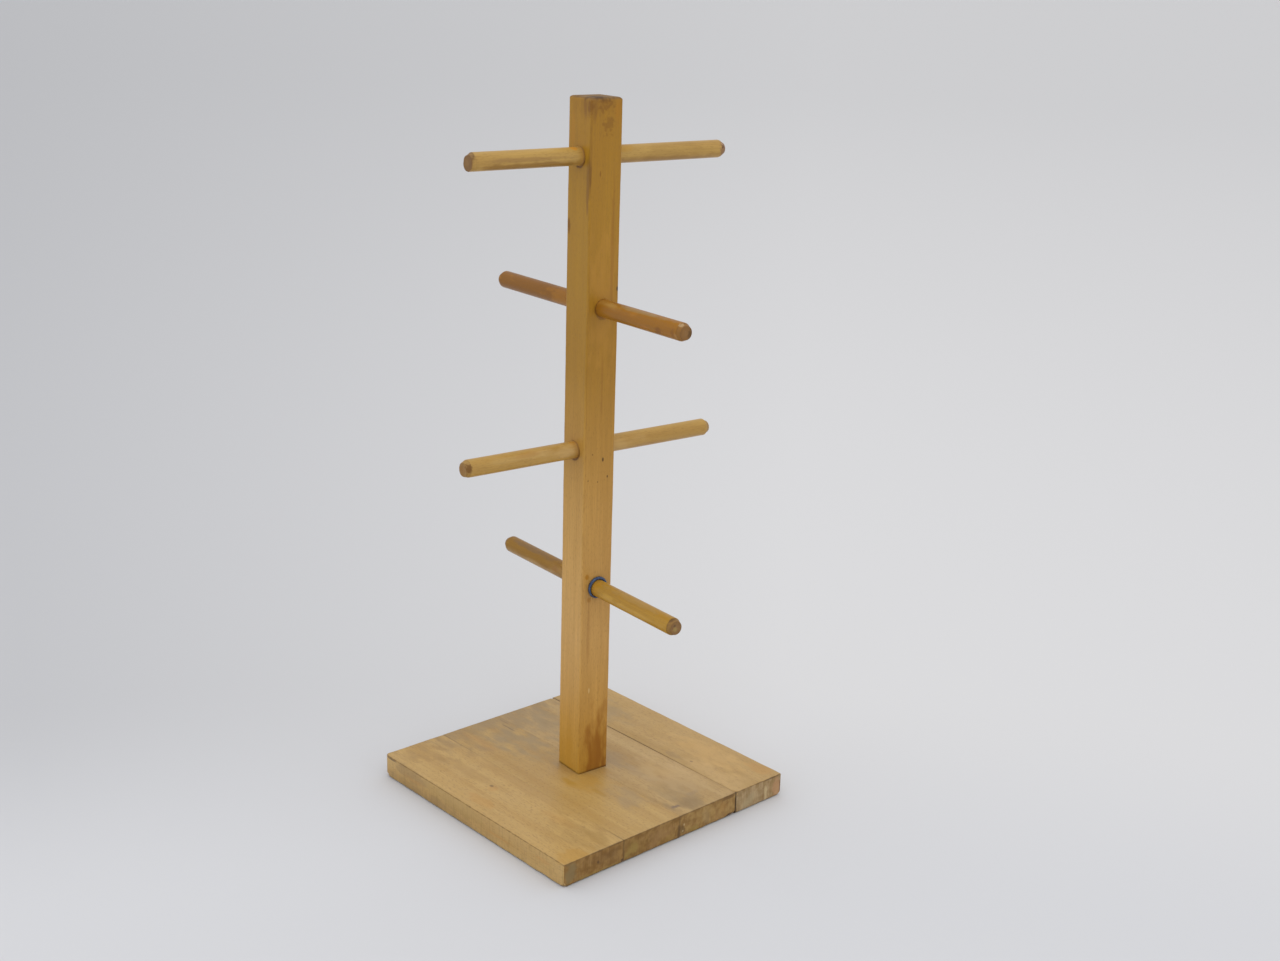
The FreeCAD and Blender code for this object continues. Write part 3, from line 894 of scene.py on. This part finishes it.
# The side towards -Y was stained a little deeper than the others.
deeper = add("MapRange", {START: -0.5, FULL: -0.9, MOST: 0.24}, facing["Y"])
torn = raggedness(add, place, 4, 0.4, 3, 2, 0.35)
speckle = raggedness(add, place, 2.0, 0.7, 5)
still = raggedness(add, place, 4, 0.06, 8)
layers = [(bands, "#9A6E26"), (deeper, "#A06A10"), (streaks, "#86602A"), (flecks, "#7F5826")]
for arm, height in ARM_HEIGHTS.items():
    for side in (-HALF, HALF):
        bore = quarter_turn(arm) @ Vector((side, 0, height - FOOT))
        layers += marked(add, place, torn, [("#96661E", bore, (7.5, 7.5, 9), 0.3, 0.7)])
        # A dark ring round each bore, set a little low so it shows wider under the dowel: dirt and painted
        # shade where the dowel meets the post.
        below = bore - Vector((0, 0, 0.7))
        layers += marked(add, place, still, [("#5C3812", below, (6.2, 6.2, 6.2), 0.75, 0.16)])
layers += marked(add, place, torn, on_face(1, -HALF, FRONT_MARKS) + TORN_MARKS)
layers += marked(add, place, speckle, SPECKLED_MARKS)
layers += marked(add, place, still, on_face(1, -HALF, SMALL_FRONT_MARKS))

# The top is end grain, mottled and grubby. The edges are rubbed, and dirt and painted shade darken a
# thin line round the foot, where the post meets the base.
top_face = add("MapRange", {START: 0.3, FULL: 0.8, MOST: 0.85}, facing["Z"])
pores = add("MapRange", {START: -0.2, FULL: 0.7, MOST: 0.4}, raggedness(add, place, 1.8, 1.0, 17))
mottled = add("Math", "MULTIPLY", pores, top_face)
grubby = patch(add, place, torn, (-3.5, -6.5, 395), (8.5, 6, 3), 0.85)
worn = rubbed(add, "near_edge", raggedness(add, place, 4, 0.5, 21, 2, 0.3), 0.3, 1.0, 0.75)
# The foot line: dirt and painted shade where the post meets the base.
foot_line = add("MapRange", {START: 1.6 * MM, FULL: 0.4 * MM, MOST: 0.6}, at["Z"])
layers += [(top_face, "#86663A"), (mottled, "#5A3C1C"), (grubby, "#4E3318"), (worn, "#6B4A1E"),
           (foot_line, "#4A2E10")]
gloss = add("Mix", {"B": 0.65}, top_face, links={"A": satin(add, place, 12, 0.3, 0.44)})
put_on(post, finish, lay_over(add, tones, layers), gloss, streaks)
print("post finished with", len(finish.node_tree.nodes), "nodes")

# %% [markdown]
# ## Varnished beech, turned: the dowels
# Dowels are run through a cutter, so their grain follows their length and shows as longer, clearer
# streaks than on the boards. Varnish pooled orange at the post, and the second dowel took the most of
# it. The bevelled tips were cut after, drank varnish and picked up dirt, so they are darker, with a
# brown ring at the shoulder and round the saw cut.

# %% Tones and marks of the dowels
DOWEL_TONES = {1: ("#C8A257", "#B48C48"), 2: ("#AB731C", "#996412"),
               3: ("#C59E53", "#B48C47"), 4: ("#BF9334", "#AD8128")}
DOWEL_MARKS = {
    1: [("#CE8C28", (-15.7, -1, 4.3), (2.8, 3.2, 2.3), 0.75), ("#9A7638", (50, -3, 0), (42, 9, 9), 0.35, 0.9),
        ("#B8892A", (17, -2, 3.5), (7, 4, 2.5), 0.6), ("#80571F", (-46, -3.5, -3.5), (48, 3.6, 2.8), 0.55),
        ("#80571F", (46, -3.5, -3.6), (48, 3.6, 2.8), 0.3),
        ("#967143", (-45, -4.6, 0.3), (30, 2.5, 1.8), 0.45)],
    2: [("#7A4A14", (-66, 4, -1.5), (4, 4, 3), 0.6), ("#AD6D1A", (-53, 4, -2), (5, 3, 2.5), 0.55),
        ("#B0741F", (-44, 3, 2.5), (5, 3, 2), 0.5), ("#8A5A18", (-30, 4, -3), (12, 3, 2.4), 0.4),
        ("#754A16", (62, 0, 0), (40, 16, 16), 0.5, 0.4), ("#A08A62", (-45, 2, 4.6), (30, 2.5, 1.2), 0.5),
        ("#BE9A58", (-20, 3, 3.8), (18, 3.6, 3), 0.5, 1.0)],
    3: [("#B07C34", (-45, -4, 3), (10, 3, 2), 0.4), ("#A3773A", (40, -4, -3), (18, 3, 2), 0.35),
        ("#C98F34", (-13, -1, 4.5), (2.5, 3, 2), 0.5), ("#C8AC78", (-46, -4.4, 2.4), (34, 3, 2.4), 0.15),
        ("#D4B074", (-19, -4.4, 1.5), (26, 5, 6), 0.42, 1.0),
        ("#D2AE72", (15, -4.4, 0), (26, 5, 6), 0.42, 1.0)],
    4: [("#784F0C", (52, 0, 0), (64, 24, 24), 0.62, 0.4), ("#85511A", (25, 4, 1), (4, 3, 2.4), 0.5),
        ("#A98A55", (-45, 2, 4.4), (30, 2.4, 1.6), 0.5), ("#CFA448", (-45, 4.6, -1), (34, 3, 3), 0.5),
        ("#C48C2A", (-15, 3, 1.5), (5, 4.5, 4.5), 0.6), ("#7A6248", (50, 2, 4.6), (34, 3, 1.8), 0.5),
        ("#BC985C", (47, 4.4, -2.8), (50, 4.4, 4), 0.6, 1.0),
        ("#B8935A", (18, 4.6, 1), (20, 4, 4), 0.35, 1.0)],
}
TIP_MARKS = {
    1: [("#8C6846", (87, -4, 0), (3.6, 3.5, 6), 0.8, 0.5), ("#4E2A14", (86, -4, 1.4), (1.3, 1.8, 1.2), 0.85),
        ("#C8A284", (86, -3.6, 2.9), (0.9, 1.4, 0.8), 0.6)],
    # On the second dowel's front tip, the pale spot on top is a painted highlight.
    2: [("#BFA276", (-82.2, 2, 4.2), (1.8, 2, 1.6), 0.65), ("#7A4E1E", (-78.4, 4, -0.5), (1.8, 3, 3.6), 0.45),
        ("#AC8350", (-80.8, 4, -2), (1.6, 3, 2.5), 0.5), ("#523818", (-83.6, -2.5, -1), (1.6, 2.5, 4), 0.65)],
    3: [("#6E4616", (-82.3, -3.5, 1), (2.4, 2.8, 3.4), 0.8), ("#8E6022", (-84, 0, 0), (1.5, 4, 4), 0.5)],
    4: [("#5A3E1C", (-82.6, 1.5, 4.3), (1.4, 3.4, 1.4), 0.6),
        ("#A0874A", (-85, 0.6, -0.6), (1.2, 1.8, 2), 0.7), ("#4E3820", (-85, 1.2, 1.6), (1, 1.2, 0.9), 0.6)],
}
print("marks on the tips:", sum(map(len, TIP_MARKS.values())))

# %% Finish the dowels
def from_axis(add, place, across):
    """Distance from an axis. across is 1 for the two directions across it and 0 along it."""
    outwards = add("VectorMath", {"operation": "MULTIPLY", 1: across}, place)
    return add("VectorMath", "LENGTH", outwards).outputs["Value"]


def tip_dirt(add, mark, torn, most):
    """A mask from numbers kept on a dowel's tips, uneven all over."""
    kept = add("Attribute", {"attribute_name": mark}).outputs["Fac"]
    uneven = add("Math", "MULTIPLY_ADD", kept, torn, kept)
    return add("MapRange", {MOST: most}, uneven)


for arm, dowel in dowels.items():
    finish, add, where = new_finish(f"varnished_beech_dowel_{arm}", THIN_VARNISH)
    place = where["Object"]
    bands, streaks, flecks = beech_figure(add, place, 0, 20 + arm, (1.0, 0.25, 0.2))
    torn = raggedness(add, place, 4, 0.4, arm, 0, 0.4)
    pale, deep = DOWEL_TONES[arm]
    layers = [(bands, deep), (streaks, "#85602C"), (flecks, "#7F5A2A")]
    layers += marked(add, place, torn, DOWEL_MARKS[arm])

    # Varnish gathered where the dowel leaves the post: a wide pool and a dark collar.
    along = add("SeparateXYZ", {}, place).outputs["X"]
    from_middle = add("Math", "ABSOLUTE", along)
    pooled = add("MapRange", {**EASED, START: 15 * MM, FULL: HALF * MM, MOST: 0.45}, from_middle)
    collar = add("MapRange", {START: 11.4 * MM, FULL: 10.6 * MM, MOST: 0.65}, from_middle)

    # The tips: a brown bevel and shoulder, and a sawn end that is paler at its heart.
    fine = raggedness(add, place, 1.2, 0.35, arm + 30)
    most_dirt = {"bevelled": 0.85, "shoulder": 0.6, "sawn": 0.75}
    bevelled, shoulder, sawn = (tip_dirt(add, mark, fine, most) for mark, most in most_dirt.items())
    middle = add("MapRange", {START: 2.6 * MM, FULL: 0.8 * MM, MOST: 0.8}, from_axis(add, place, (0, 1, 1)))
    heart = add("Math", "MULTIPLY", middle, sawn)
    layers += [(pooled, "#A06E24"), (collar, "#7A4A16"), (bevelled, "#86643A"), (shoulder, "#5A3A18"),
               (sawn, "#82603A"), (heart, "#967246")]
    layers += marked(add, place, fine, TIP_MARKS[arm])
    gloss = add("MapRange", {LEAST: 0.36, MOST: 0.62}, bevelled)
    put_on(dowel, finish, lay_over(add, pale, layers), gloss, streaks)
print("dowels finished:", len(dowels))

# %% [markdown]
# ## Blue rubber and dull steel
# The ring is moulded rubber, rubbed to a soft shine, with a trace of dust that greys it. The screw is
# plain drawn steel, dulled by years under the base: its faint turning marks run round the head.

# %% Finish the ring and the screw
finish, add, where = new_finish("moulded_blue_rubber", {"IOR": 1.52})
dust = add("TexNoise", {"Scale": 1 / (1.2 * MM), "Detail": 3.0}, where["Object"])
film = add("MapRange", {START: 0.4, FULL: 0.8, MOST: 0.5}, dust)
gloss = add("MapRange", {LEAST: 0.35, MOST: 0.7}, film)
put_on(ring, finish, lay_over(add, "#2C3D62", [(film, "#5F83A8")]), gloss)

finish, add, where = new_finish("dulled_screw_steel", {"Metallic": 1.0})
turning = add("TexNoise", {"noise_dimensions": "1D", "Scale": 1 / (0.25 * MM), "Detail": 2.0},
              links={"W": from_axis(add, where["Object"], (1, 1, 0))})
tarnish = add("TexNoise", {"Scale": 1 / (1.5 * MM), "Detail": 4.0}, where["Object"])
film = add("MapRange", {START: 0.35, FULL: 0.75}, tarnish)
gloss = add("MapRange", {LEAST: 0.32, MOST: 0.6}, film)
put_on(screw, finish, lay_over(add, "#A9A7A1", [(film, "#6F675C")]), gloss, turning, 0.3, 0.05)
print("ring and screw finished")
